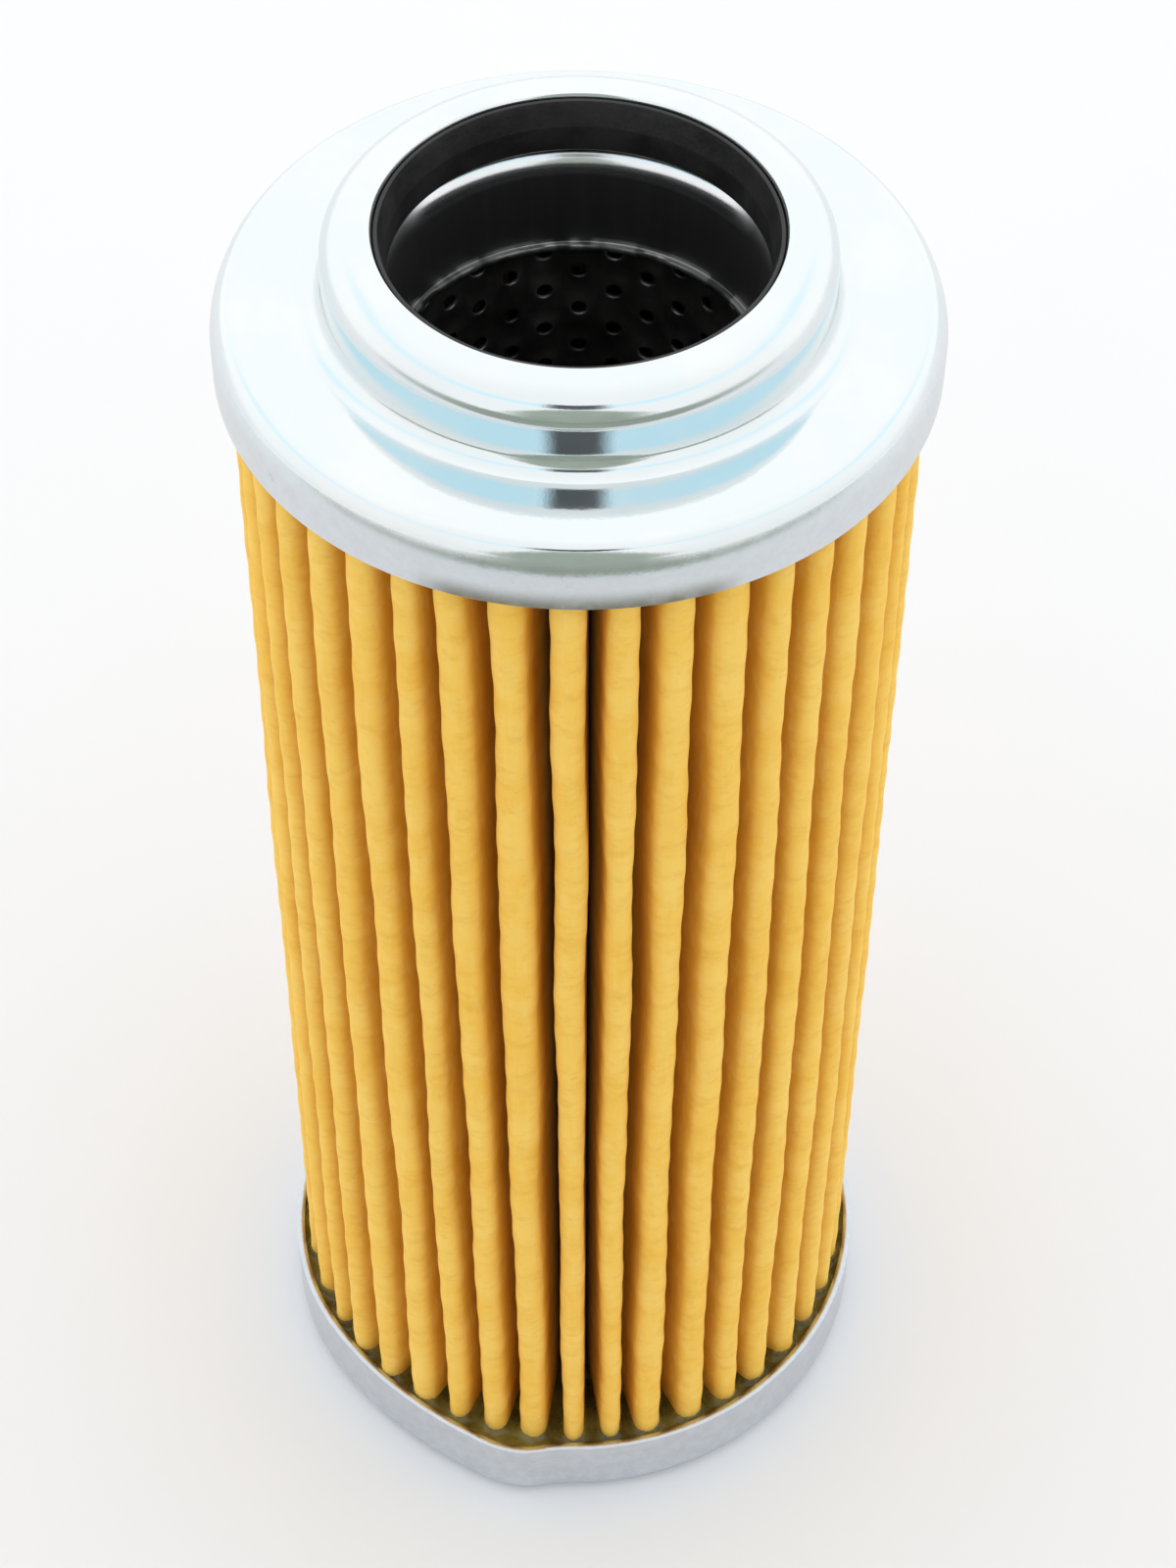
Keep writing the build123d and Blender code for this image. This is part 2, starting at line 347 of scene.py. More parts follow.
def spaced(points, longest):
    """The same line with more points, so that no stretch is longer than this."""
    out = [points[0]]
    for start, end in zip(points, points[1:]):
        count = max(1, int(np.ceil(hypot(end[0] - start[0], end[1] - start[1]) / longest)))
        for step in range(1, count + 1):
            share = step / count
            out.append(tuple(a + (b - a) * share for a, b in zip(start, end)))
    return out


def sheet_section(path, thickness, closed_ends=True):
    """The closed section of a sheet whose outer face is this line, with its metal on the left.
    Its cut ends are eased."""
    line = np.array(path)
    along = np.gradient(line, axis=0)
    along /= np.linalg.norm(along, axis=1)[:, None]
    if closed_ends:
        line[0] += along[0] * thickness * 0.2
        line[-1] -= along[-1] * thickness * 0.2
    left = np.stack([-along[:, 1], along[:, 0]], axis=1)
    inner = line + left * thickness
    ease = [-0.94, -0.5, 0.0, 0.5, 0.94]

    def cut(a, b, outward):
        middle, half = (a + b) / 2, (a - b) / 2
        return [middle + half * -e + outward * thickness * 0.2 * (1 - e * e) for e in ease]

    points = list(line)
    if closed_ends:
        points += cut(line[-1], inner[-1], along[-1])
        points += list(inner[::-1])
        points += cut(inner[0], line[0], -along[0])
    else:
        points += list(inner[::-1])
    return [tuple(p) for p in points]


def lathe(name, section, steps, finish, shape=None, closed=True):
    """Turns a section round the axis. A closed section's last point joins its first. Where an
    open one starts or ends on the axis, it closes in a pole. shape moves the points."""
    section = np.array(section)
    turn = np.arange(steps) * 2 * pi / steps
    r, azimuth = np.meshgrid(section[:, 0], turn)
    z = np.broadcast_to(section[:, 1], r.shape).copy()
    if shape:
        r, z = shape(r, z, azimuth)
    verts = np.stack([r * np.sin(azimuth), -r * np.cos(azimuth), z], axis=-1) * MM
    count = section.shape[0]
    poles = [] if closed else [k for k in (0, count - 1) if section[k, 0] == 0]
    points, index = [], np.zeros((steps, count), int)
    for k in range(count):
        for step in range(steps):
            if k in poles and step:
                index[step, k] = index[0, k]
            else:
                index[step, k] = len(points)
                points.append(tuple(verts[step, k]))
    faces = []
    for step in range(steps):
        after = (step + 1) % steps
        for k in range(count if closed else count - 1):
            ahead = (k + 1) % count
            loop = [index[step, k], index[after, k], index[after, ahead], index[step, ahead]]
            face = [v for n, v in enumerate(loop) if v != loop[n - 1]]
            faces.append(face)
    return new_piece(name, points, faces, finish)


def new_piece(name, points, faces, finish, edges=()):
    mesh = bpy.data.meshes.new(name)
    mesh.from_pydata(points, list(edges), faces)
    mesh.validate()
    if faces:
        mesh.shade_smooth()
        mesh.set_sharp_from_angle(angle=radians(50))
    if finish:
        mesh.materials.append(finish)
    piece = bpy.data.objects.new(name, mesh)
    bpy.context.scene.collection.objects.link(piece)
    return piece


def mark_points(piece, name, values):
    """Gives each point of a piece a number that a node tree or a material can read."""
    layer = piece.data.attributes.new(name, "FLOAT", "POINT")
    layer.data.foreach_set("value", values)


def waves(seed, count, amplitude):
    """Slow unevenness left by a press, as a function of azimuth and distance along the sheet."""
    rng = np.random.default_rng(seed)
    around = rng.integers(1, 9, count)
    along = rng.uniform(0.1, 0.6, count)
    phase = rng.uniform(0, 2 * pi, count)
    share = amplitude / count ** 0.5

    def height(azimuth, distance):
        out = np.zeros_like(azimuth)
        for a, b, p in zip(around, along, phase):
            out += share * np.cos(a * azimuth + b * distance + p)
        return out

    return height


def stand_out(azimuth):
    """How far the damaged bottom rim leaves the true circle, at azimuths in radians."""
    turn = (np.degrees(azimuth) + 180) % 360 - 180
    knots = np.array(damage_azimuths, float)
    depths = np.array(damage_depths, float)
    slopes = np.gradient(depths, knots)
    slopes[0] = slopes[-1] = 0
    place = np.clip(np.searchsorted(knots, turn) - 1, 0, len(knots) - 2)
    after = place + 1
    span = knots[after] - knots[place]
    t = np.clip((turn - knots[place]) / span, 0, 1)
    value = ((2 * t**3 - 3 * t**2 + 1) * depths[place]
             + (t**3 - 2 * t**2 + t) * span * slopes[place]
             + (3 * t**2 - 2 * t**3) * depths[after] + (t**3 - t**2) * span * slopes[after])
    return np.where((turn < knots[0]) | (turn > knots[-1]), 0.0, value)


def wall_share(r):
    """How much of the rim's damage a point follows: none inside, all at the wall."""
    return np.clip((r - still_radius) / moving_width, 0, 1) ** 2


def make_top_cap(finish):
    shoulder_centre = crease_radius - shoulder_radius, element_height - shoulder_radius
    corner = [(cap_radius + r, flange_top + z, bend) for r, z, bend in corner_bends]
    foot = rounded([(cap_radius, top_edge, 0), *corner, (crease_radius, flange_top, foot_bend),
                    (crease_radius, shoulder_centre[1], 0)], 14)
    shoulder = [(shoulder_centre[0] + shoulder_radius * cos(t),
                 shoulder_centre[1] + shoulder_radius * sin(t))
                for t in np.linspace(0, pi / 2, 25)[1:]]
    path = spaced(foot + shoulder + [(opening_radius, element_height)], 0.45)
    uneven = waves(3, 9, 0.016)

    def shape(r, z, azimuth):
        lift = uneven(azimuth, r * 1.1 + z)
        return r - clearance + lift * 0.6, z - clearance * (z > flange_top - 1) + lift

    return lathe("top_cap_shell", sheet_section(path, cap_sheet), 256, finish, shape)


def make_bottom_cap(finish):
    wall = rounded([(0, 0, 0), (cap_radius, 0, cap_corner), (cap_radius, bottom_edge, 0)], 12)
    path = spaced(wall, 0.9)
    section = sheet_section(path, cap_sheet, closed_ends=False)
    rim = len(path)
    outer, inner = np.array(section[rim - 1]), np.array(section[rim])
    ease = [outer + (inner - outer) * s + np.array([0, 0.14 * 4 * s * (1 - s) - 0.14])
            for s in (0.0, 0.2, 0.5, 0.8, 1.0)]
    section[rim - 1:rim + 1] = [tuple(p) for p in ease]
    section[0] = (0, section[0][1])
    section[-1] = (0, section[-1][1])
    uneven = waves(8, 9, 0.02)

    def shape(r, z, azimuth):
        return r + wall_share(r) * (stand_out(azimuth) - clearance + uneven(azimuth, z)), z

    return lathe("bottom_cap_shell", section, 320, finish, shape, closed=False)


def make_seal(finish):
    top = seal_lip_top - 0.5
    section = rounded([(seal_radius, seal_seat, 0), (seal_bore + 0.4, seal_seat, 0.1),
                       (seal_bore, seal_seat + 0.4, 0.25), (seal_bore, land_top, 0.5),
                       (seal_bore + 0.45, seal_lip_top, 0.08),
                       (seal_bore + 0.75, seal_lip_top, 0.08),
                       (seal_bore + 0.75, top, 0.1), (seal_radius, top, seal_crown),
                       (seal_radius, seal_seat, 0)], 6)[:-1]
    return lathe("seal", spaced(section, 0.7)[::-1], 160, finish)


def make_seat_ring(finish):
    """The pressed ring: seat, bend and neck, with a narrow stop turned in at its end whose edge
    is ragged."""
    path = rounded([(seal_radius, seal_seat, 0), (neck_radius, seal_seat, neck_bend),
                    (neck_radius, neck_end + 0.5, 0.12),
                    (neck_radius - stop_lip, neck_end + 0.5, 0)], 12)
    rng = np.random.default_rng(5)
    ragged = np.repeat(rng.uniform(-1, 1, 45), 6)

    def shape(r, z, azimuth):
        inner = np.clip((neck_radius - 0.15 - r) / 0.3, 0, 1) * (z < neck_end + 0.8)
        return r - inner * 0.12 * ragged[:, None], z + inner * 0.1 * ragged[:, None]

    return lathe("seal_seat", sheet_section(spaced(path, 0.8), neck_sheet), 270, finish, shape)


# Node trees ----------------------------------------------------------------------------------
def inlets(tree, sockets):
    """Gives a node tree its named inputs and its one outcome."""
    for name, kind in sockets.items():
        tree.interface.new_socket(name=name, in_out="INPUT", socket_type="NodeSocket" + kind)
    tree.interface.new_socket(name="Geometry", in_out="OUTPUT", socket_type="NodeSocketGeometry")
    return tree.nodes.new("NodeGroupInput").outputs


def run_maker(piece, tree, values):
    """Runs a node tree on a piece with these inputs, and keeps the outcome as its plain mesh."""
    maker = piece.modifiers.new(tree.name, "NODES")
    maker.node_group = tree
    for socket in tree.interface.items_tree:
        if socket.in_out == "INPUT" and socket.name in values:
            maker[socket.identifier] = values[socket.name]
    bpy.context.view_layer.update()
    outcome = piece.evaluated_get(bpy.context.evaluated_depsgraph_get())
    mesh = bpy.data.meshes.new_from_object(outcome)
    mesh.name = piece.name
    piece.modifiers.clear()
    piece.data = mesh
    return piece


# Tube ----------------------------------------------------------------------------------------
def tube_tree():
    """Lays punched tiles in columns, every other column half a tile higher with a blank half
    tile at each end, bends them into a tube and gives it thickness and punched-in rims."""
    tree = bpy.data.node_groups.new("punched_tube", "GeometryNodeTree")
    given = inlets(tree, {
        "Tile": "Geometry", "Columns": "Int", "Holes up": "Int", "Radius": "Float",
        "Bottom": "Float", "Height": "Float", "Sheet": "Float", "Punch": "Float",
        "Steel": "Material"})
    g = Graph(tree)
    blank = g.node("GeometryNodeInputNamedAttribute", {"Name": "blank"}, data_type="FLOAT")
    parts = g.node("GeometryNodeSeparateGeometry",
                   {0: given["Tile"], 1: g.math("GREATER_THAN", blank.outputs[0], 0.5)})
    index = g.node("GeometryNodeInputIndex", {}).outputs[0]

    column = g.math("FLOOR", g.math("DIVIDE", index, given["Holes up"]))
    row = g.math("MODULO", index, given["Holes up"])
    shifted = g.math("MODULO", column, 2.0)
    last = g.math("COMPARE", row, g.math("SUBTRACT", given["Holes up"], 1.0), 0.1)
    keep = g.math("SUBTRACT", 1.0, g.math("MULTIPLY", shifted, last))
    place = g.combine(column, g.math("ADD", row, g.math("MULTIPLY", shifted, 0.5)), 0.0)
    cells = g.math("MULTIPLY", given["Columns"], given["Holes up"])
    points = g.node("GeometryNodePoints", {"Count": cells, "Position": place}).outputs[0]
    punched = g.node("GeometryNodeInstanceOnPoints", {0: points, 1: keep, 2: parts.outputs[1]})

    end = g.math("MODULO", index, 2.0)
    odd = g.math("ADD", g.math("SUBTRACT", index, end), 1.0)
    place = g.combine(odd, g.math("MULTIPLY", end, g.math("SUBTRACT", given["Holes up"], 0.5)),
                      0.0)
    points = g.node("GeometryNodePoints", {"Count": given["Columns"], "Position": place})
    plain = g.node("GeometryNodeInstanceOnPoints", {0: points.outputs[0], 2: parts.outputs[0]})

    flat = g.node("GeometryNodeJoinGeometry", {})
    tree.links.new(punched.outputs[0], flat.inputs[0])
    tree.links.new(plain.outputs[0], flat.inputs[0])
    flat = g.node("GeometryNodeRealizeInstances", {0: flat.outputs[0]}).outputs[0]
    x, y, _ = g.separate(g.node("GeometryNodeInputPosition", {}).outputs[0])
    turn = g.math("MULTIPLY", x, g.math("DIVIDE", 2 * pi, given["Columns"]))
    height = g.math("MULTIPLY", y, g.math("DIVIDE", given["Height"], given["Holes up"]))
    bent = g.combine(g.math("MULTIPLY", g.math("COSINE", turn), given["Radius"]),
                     g.math("MULTIPLY", g.math("SINE", turn), given["Radius"]),
                     g.math("ADD", height, given["Bottom"]))
    tube = g.node("GeometryNodeSetPosition", {0: flat, "Position": bent}).outputs[0]
    inside = g.node("GeometryNodeMergeByDistance", {0: tube, 2: 0.00001}).outputs[0]
    outside = g.node("GeometryNodeExtrudeMesh",
                     {0: inside, "Offset Scale": given["Sheet"], "Individual": False}).outputs[0]
    turned = g.node("GeometryNodeFlipFaces", {0: inside}).outputs[0]
    tube = g.node("GeometryNodeJoinGeometry", {})
    tree.links.new(outside, tube.inputs[0])
    tree.links.new(turned, tube.inputs[0])
    tube = g.node("GeometryNodeMergeByDistance", {0: tube.outputs[0], 2: 0.00001}).outputs[0]

    spot = g.node("GeometryNodeInputPosition", {}).outputs[0]
    rim = g.node("GeometryNodeInputNamedAttribute", {"Name": "rim"}, data_type="FLOAT")
    uneven = g.math("MULTIPLY", g.noise(spot, 900.0, 1.0),
                    g.math("MULTIPLY", given["Punch"], -2.0))
    outward = g.vector_math("NORMALIZE", g.vector_math("MULTIPLY", spot, (1.0, 1.0, 0.0)))
    push = g.scale(outward, g.math("MULTIPLY", rim.outputs[0], uneven))
    tube = g.node("GeometryNodeSetPosition", {0: tube, "Offset": push}).outputs[0]
    tube = g.node("GeometryNodeRealizeInstances", {0: tube}).outputs[0]
    tube = g.node("GeometryNodeSetMaterial", {0: tube, 2: given["Steel"]}).outputs[0]
    g.node("NodeGroupOutput", {0: tube})
    return tree


def make_tube(finish):
    """The tile is a unit square whose hole comes out round in the bent tube."""
    inside = tube_outside - tube_sheet
    wide = 2 * pi * inside / tube_columns
    high = (tube_top - tube_bottom) / holes_up
    border = [(0.5, 0), (1, 0), (1, 0.25), (1, 0.5), (1, 0.75), (1, 1), (0.5, 1), (0, 1),
              (0, 0.75), (0, 0.5), (0, 0.25), (0, 0)]
    points, faces = [], []
    for radius in (punched_radius, punched_radius + 0.2):
        for x, y in border:
            turn = np.arctan2((y - 0.5) * high, (x - 0.5) * wide)
            points.append((0.5 + radius * cos(turn) / wide, 0.5 + radius * sin(turn) / high, 0))
    points += [(x, y, 0) for x, y in border]
    count = len(border)
    for ring in range(2):
        for k in range(count):
            after = (k + 1) % count
            faces.append((ring * count + k, (ring + 1) * count + k,
                          (ring + 1) * count + after, ring * count + after))
    tile = len(points)
    points += [(x / 2, y / 4, 0) for y in range(3) for x in range(3)]
    faces += [(tile + k, tile + k + 1, tile + k + 4, tile + k + 3) for k in (0, 1, 3, 4)]
    piece = new_piece("punched_tube", points, faces, None)
    mark_points(piece, "rim", [1.0] * count + [0.25] * count + [0.0] * (len(points) - 2 * count))
    mark_points(piece, "blank", [0.0] * tile + [1.0] * (len(points) - tile))
    return run_maker(piece, tube_tree(), {
        "Columns": tube_columns, "Holes up": holes_up, "Radius": inside * MM,
        "Bottom": tube_bottom * MM, "Height": (tube_top - tube_bottom) * MM,
        "Sheet": tube_sheet * MM, "Punch": 0.00012, "Steel": finish})


# Paper pack ----------------------------------------------------------------------------------
def pleat_tree():
    """Sets copies of a pleat's outline round the axis, draws them up into a pack, and gives it
    the drift, lean, cross ridges and crumple of real paper."""
    tree = bpy.data.node_groups.new("pleated_pack", "GeometryNodeTree")
    given = inlets(tree, {
        "Outline": "Geometry", "Pleats": "Int", "Seam pleat": "Int", "Bottom": "Float",
        "Top": "Float", "Rows": "Int", "Root radius": "Float", "Ridge radius": "Float",
        "Lean top": "Float", "Lean bottom": "Float", "Wander": "Float",
        "Cross ridge pitch": "Float", "Cross ridge height": "Float", "Crumple": "Float",
        "Paper": "Material"})
    g = Graph(tree)
    seam = g.node("GeometryNodeInputNamedAttribute", {"Name": "seam"}, data_type="FLOAT")
    parts = g.node("GeometryNodeSeparateGeometry",
                   {0: given["Outline"], 1: g.math("GREATER_THAN", seam.outputs[0], 0.5)})
    index = g.node("GeometryNodeInputIndex", {}).outputs[0]
    turn = g.math("MULTIPLY", index, g.math("DIVIDE", 2 * pi, given["Pleats"]))
    places = g.node("GeometryNodePoints", {"Count": given["Pleats"]}).outputs[0]
    at_seam = g.node("FunctionNodeCompare", {2: index, 3: given["Seam pleat"]},
                     data_type="INT", operation="EQUAL").outputs[0]
    elsewhere = g.node("FunctionNodeBooleanMath", {0: at_seam}, operation="NOT").outputs[0]
    spin = g.combine(0.0, 0.0, turn)
    joined = g.node("GeometryNodeJoinGeometry", {})
    for selection, part in ((elsewhere, parts.outputs[1]), (at_seam, parts.outputs[0])):
        copies = g.node("GeometryNodeInstanceOnPoints",
                        {0: places, 1: selection, 2: part, 5: spin})
        tree.links.new(copies.outputs[0], joined.inputs[0])
    realized = g.node("GeometryNodeRealizeInstances", {0: joined.outputs[0]}).outputs[0]
    merged = g.node("GeometryNodeMergeByDistance", {0: realized, 2: 0.00001}).outputs[0]
    outline = g.node("GeometryNodeMeshToCurve", {0: merged}).outputs[0]
    rise = g.node("GeometryNodeCurvePrimitiveLine",
                  {0: g.combine(0.0, 0.0, given["Bottom"]),
                   1: g.combine(0.0, 0.0, given["Top"])}).outputs[0]
    rise = g.node("GeometryNodeResampleCurve", {0: rise, 2: given["Rows"]}).outputs[0]
    pack = g.node("GeometryNodeCurveToMesh",
                  {0: rise, 1: outline, "Fill Caps": True}).outputs[0]

    place = g.node("GeometryNodeInputPosition", {}).outputs[0]
    x, y, z = g.separate(place)
    minus_y = g.math("MULTIPLY", y, -1.0)
    azimuth = g.math("ARCTAN2", x, minus_y)
    radius = g.math("SQRT", g.math("ADD", g.math("MULTIPLY", x, x), g.math("MULTIPLY", y, y)))
    freedom = g.ramp(radius, given["Root radius"], given["Ridge radius"])
    height = g.ramp(z, given["Bottom"], given["Top"], smooth=False)

    drift_a = g.math("MULTIPLY", g.math("COSINE", g.math("MULTIPLY", azimuth, 11.0)), 0.05)
    three = g.math("COSINE", g.math("SUBTRACT", g.math("MULTIPLY", azimuth, 3.0), 0.6))
    drift = g.math("SUBTRACT", g.math("SUBTRACT", drift_a, g.math("MULTIPLY", three, 0.04)), 0.1)
    drift = g.math("MULTIPLY", drift, g.math("DIVIDE", 2 * pi, given["Pleats"]))

    left = g.math("MULTIPLY", g.ramp(azimuth, radians(15), radians(-22)),
                  g.ramp(azimuth, radians(-150), radians(-80)))
    right = g.math("MULTIPLY", g.ramp(azimuth, radians(5), radians(35)),
                   g.ramp(azimuth, radians(150), radians(80)))
    upper = g.math("MULTIPLY", g.ramp(height, 0.5, 1.0, smooth=False), given["Lean top"])
    lower = g.math("MULTIPLY", g.ramp(height, 0.5, 0.0, smooth=False), given["Lean bottom"])
    lean = g.math("ADD", g.math("MULTIPLY", left, g.math("ADD", upper, lower)),
                  g.math("MULTIPLY", right, g.math("MULTIPLY", lower, -0.4)))

    round_x = g.math("DIVIDE", g.math("MULTIPLY", x, 7.0), radius)
    round_y = g.math("DIVIDE", g.math("MULTIPLY", y, 7.0), radius)
    wander_at = g.combine(round_x, round_y, g.math("MULTIPLY", z, 38.0))
    wander = g.node("ShaderNodeTexNoise", {"Vector": wander_at, "Scale": 1.0, "Detail": 1.5})
    aside, out, _ = g.separate(g.vector_math("SUBTRACT", wander.outputs[1], (0.5, 0.5, 0.5)))
    reach = g.math("MULTIPLY", freedom, given["Wander"])
    new_radius = g.math("ADD", radius, g.math("MULTIPLY", g.math("MULTIPLY", out, reach), 0.7))
    swing = g.math("DIVIDE", g.math("MULTIPLY", g.math("MULTIPLY", aside, reach), 2.0), radius)
    new_azimuth = g.math("ADD", g.math("ADD", azimuth, drift), g.math("ADD", lean, swing))
    moved = g.combine(g.math("MULTIPLY", g.math("SINE", new_azimuth), new_radius),
                      g.math("MULTIPLY", g.math("COSINE", new_azimuth),
                             g.math("MULTIPLY", new_radius, -1.0)), z)
    pack = g.node("GeometryNodeSetPosition", {0: pack, "Position": moved}).outputs[0]

    normal = g.node("GeometryNodeInputNormal", {}).outputs[0]
    side = g.node("GeometryNodeInputNamedAttribute", {"Name": "side"}, data_type="FLOAT")
    phase = g.math("MULTIPLY", g.noise(g.combine(round_x, round_y, 0.0), 0.6, 0.0), 9.0)
    ripple = g.math("COSINE", g.math("ADD", g.math("MULTIPLY", g.math(
        "DIVIDE", z, given["Cross ridge pitch"]), 2 * pi), phase))
    crumple = g.math("MULTIPLY", g.math("SUBTRACT", g.noise(place, 330.0, 2.0), 0.5),
                     given["Crumple"])
    lift = g.math("ADD", g.math("MULTIPLY", ripple, given["Cross ridge height"]), crumple)
    lift = g.math("MULTIPLY", g.math("MULTIPLY", lift, freedom), side.outputs[0])
    lift = g.math("MULTIPLY", lift, -1.0)
    pack = g.node("GeometryNodeSetPosition",
                  {0: pack, "Offset": g.scale(normal, lift)}).outputs[0]
    pack = g.node("GeometryNodeFlipFaces", {0: pack}).outputs[0]
    pack = g.node("GeometryNodeRealizeInstances", {0: pack}).outputs[0]
    pack = g.node("GeometryNodeSetMaterial", {0: pack, 2: given["Paper"]}).outputs[0]
    g.node("NodeGroupOutput", {0: pack})
    return tree


def arc(centre, start, end, steps):
    """Points on an arc round centre between two points, without its first."""
    first, last = Vector(start) - Vector(centre), Vector(end) - Vector(centre)
    turn = first.angle_signed(last)
    return [tuple(Vector(centre) + Matrix.Rotation(-turn * k / steps, 2) @ first)
            for k in range(1, steps + 1)]


def half_pleat(bend):
    """The flank from a ridge to the next root: where each face leaves the ridge's bend and
    reaches the root's, and the two centres."""
    ridge = Vector((0, -ridge_centre))
    root = Vector((root_centre * sin(pleat_step / 2), -root_centre * cos(pleat_step / 2)))
    run = root - ridge
    turn = acos((bend + root_bend) / run.length)
    across = Matrix.Rotation(-turn, 2) @ run.normalized()
    return ridge, root, across


def flank_points(start, end, shares):
    return [tuple(Vector(start).lerp(Vector(end), share)) for share in shares]


def pleat_lines():
    """The two faces of a whole pleat as lines from root to root."""
    ridge, root, across = half_pleat(ridge_bend)
    outer_bend, inner_bend = ridge_bend + paper / 2, ridge_bend - paper / 2
    tip = ridge + Vector((0, -outer_bend))
    outer = [tuple(tip)] + arc(ridge, tip, ridge + across * outer_bend, 4)
    outer += flank_points(outer[-1], root, (0.3, 1.0))
    inner_tip = ridge + Vector((0, -inner_bend))
    inner = [tuple(inner_tip)] + arc(ridge, inner_tip, ridge + across * inner_bend, 1)
    inner.append(tuple(root - across * paper))
    inner += arc(root, inner[-1], root - root.normalized() * paper, 1)
    return [mirrored(outer) + outer[1:], mirrored(inner) + inner[1:]]


def mirrored(line):
    return [(-x, y) for x, y in line[::-1]]


def seam_lines():
    """The two half pleats whose cut ends lie side by side, each as one line round its end."""
    ridge, root, across = half_pleat(seam_bend)
    outer = ridge + across * (seam_bend + paper / 2)
    inner = ridge + across * (seam_bend - paper / 2)
    deep = root - across * paper
    outer_line = [tuple(root)] + flank_points(root, outer, (0.7, 1.0))
    inner_line = flank_points(inner, deep, (0.0, 1.0))
    inner_line += arc(root, deep, root - root.normalized() * paper, 1)
    return [(outer_line, inner_line),
            ([(-x, y) for x, y in outer_line], [(-x, y) for x, y in inner_line])]


def outline_piece(name, lines, seam_from):
    """A mesh of plain lines: points, the edges that join them, and for each point its side of
    the paper and whether it belongs to the seam."""
    points, edges, sides, seams = [], [], [], []
    for number, (line, side, loop) in enumerate(lines):
        start = len(points)
        points += [(x * MM, y * MM, 0) for x, y in line]
        edges += [(start + k, start + k + 1) for k in range(len(line) - 1)]
        if loop:
            edges.append((start + len(line) - 1, start))
        sides += [side] * len(line) if isinstance(side, (int, float)) else side
        seams += [float(number >= seam_from)] * len(line)
    piece = new_piece(name, points, [], None, edges)
    mark_points(piece, "side", sides)
    mark_points(piece, "seam", seams)
    return piece


pack_sizes = {
    "Pleats": pleat_count, "Seam pleat": pleat_count // 2, "Bottom": pack_bottom * MM,
    "Top": pack_top * MM, "Root radius": (root_centre + 0.8) * MM,
    "Ridge radius": (ridge_centre - 1.0) * MM, "Lean top": radians(-2.2),
    "Lean bottom": radians(2.4), "Wander": 0.00055, "Cross ridge pitch": 0.0046,
    "Cross ridge height": 0.000035, "Crumple": 0.00007}


def make_paper(tree, finish):
    lines = [(line, side, False) for line, side in zip(pleat_lines(), (1.0, -1.0))]
    for outer, inner in seam_lines():
        lines.append((outer + inner, [1.0] * len(outer) + [-1.0] * len(inner), False))
    piece = outline_piece("paper_pack", lines, 2)
    return run_maker(piece, tree, {**pack_sizes, "Rows": 136, "Paper": finish})


def make_seam(tree, finish):
    """The glue between the ends of the paper, rounded where it stands out past them."""
    ridge, root, across = half_pleat(seam_bend)
    edge = ridge + across * (seam_bend - paper / 2)
    deep = (root - across * paper).lerp(edge, 1 - 6.0 / (root - ridge).length)
    right = [tuple(deep), tuple(deep.lerp(edge, 0.5)), tuple(edge)]
    bulge = [(edge.x * 2.2, edge.y - 0.16), (edge.x * 1.2, edge.y - 0.34)]
    half = right + bulge
    loop = half + [(-x, y) for x, y in half[::-1]]
    piece = outline_piece("seam_bead", [(loop, 1.0, True)], 0)
    return run_maker(piece, tree, {**pack_sizes, "Rows": 90, "Paper": finish,
                                   "Cross ridge height": 0.00002})


# Adhesive ------------------------------------------------------------------------------------
def adhesive_tree():
    """Raises the top of a plug of adhesive where it wets the paper and the wall."""
    tree = bpy.data.node_groups.new("wetting_adhesive", "GeometryNodeTree")
    given = inlets(tree, {
        "Plug": "Geometry", "Paper": "Object", "Level": "Float", "Climb": "Float",
        "Reach": "Float", "Wall radius": "Float", "Adhesive": "Material"})
    g = Graph(tree)
    place = g.node("GeometryNodeInputPosition", {}).outputs[0]
    x, y, z = g.separate(place)
    radius = g.math("SQRT", g.math("ADD", g.math("MULTIPLY", x, x), g.math("MULTIPLY", y, y)))
    paper = g.node("GeometryNodeObjectInfo", {0: given["Paper"]}).outputs["Geometry"]
    near = g.node("GeometryNodeProximity", {0: paper}, target_element="FACES").outputs["Distance"]
    uneven = g.ramp(g.noise(place, 420.0, 2.0), 0.3, 0.7, 0.75, 1.0)
    on_paper = g.math("POWER", g.ramp(near, given["Reach"], 0.0, smooth=False), 2.0)
    wall = g.math("SUBTRACT", given["Wall radius"], radius)
    on_wall = g.math("MULTIPLY", g.ramp(wall, 0.0006, 0.0), 0.4)
    rise = g.math("MULTIPLY", g.math("MAXIMUM", on_paper, on_wall), uneven)
    rise = g.math("MULTIPLY", rise, given["Climb"])
    upper = g.math("COMPARE", z, given["Level"], 0.00005)
    plug = g.node("GeometryNodeSetPosition",
                  {0: given["Plug"], 1: upper, "Offset": g.combine(0.0, 0.0, rise)}).outputs[0]
    plug = g.node("GeometryNodeRealizeInstances", {0: plug}).outputs[0]
    plug = g.node("GeometryNodeSetMaterial", {0: plug, 2: given["Adhesive"]}).outputs[0]
    g.node("NodeGroupOutput", {0: plug})
    return tree


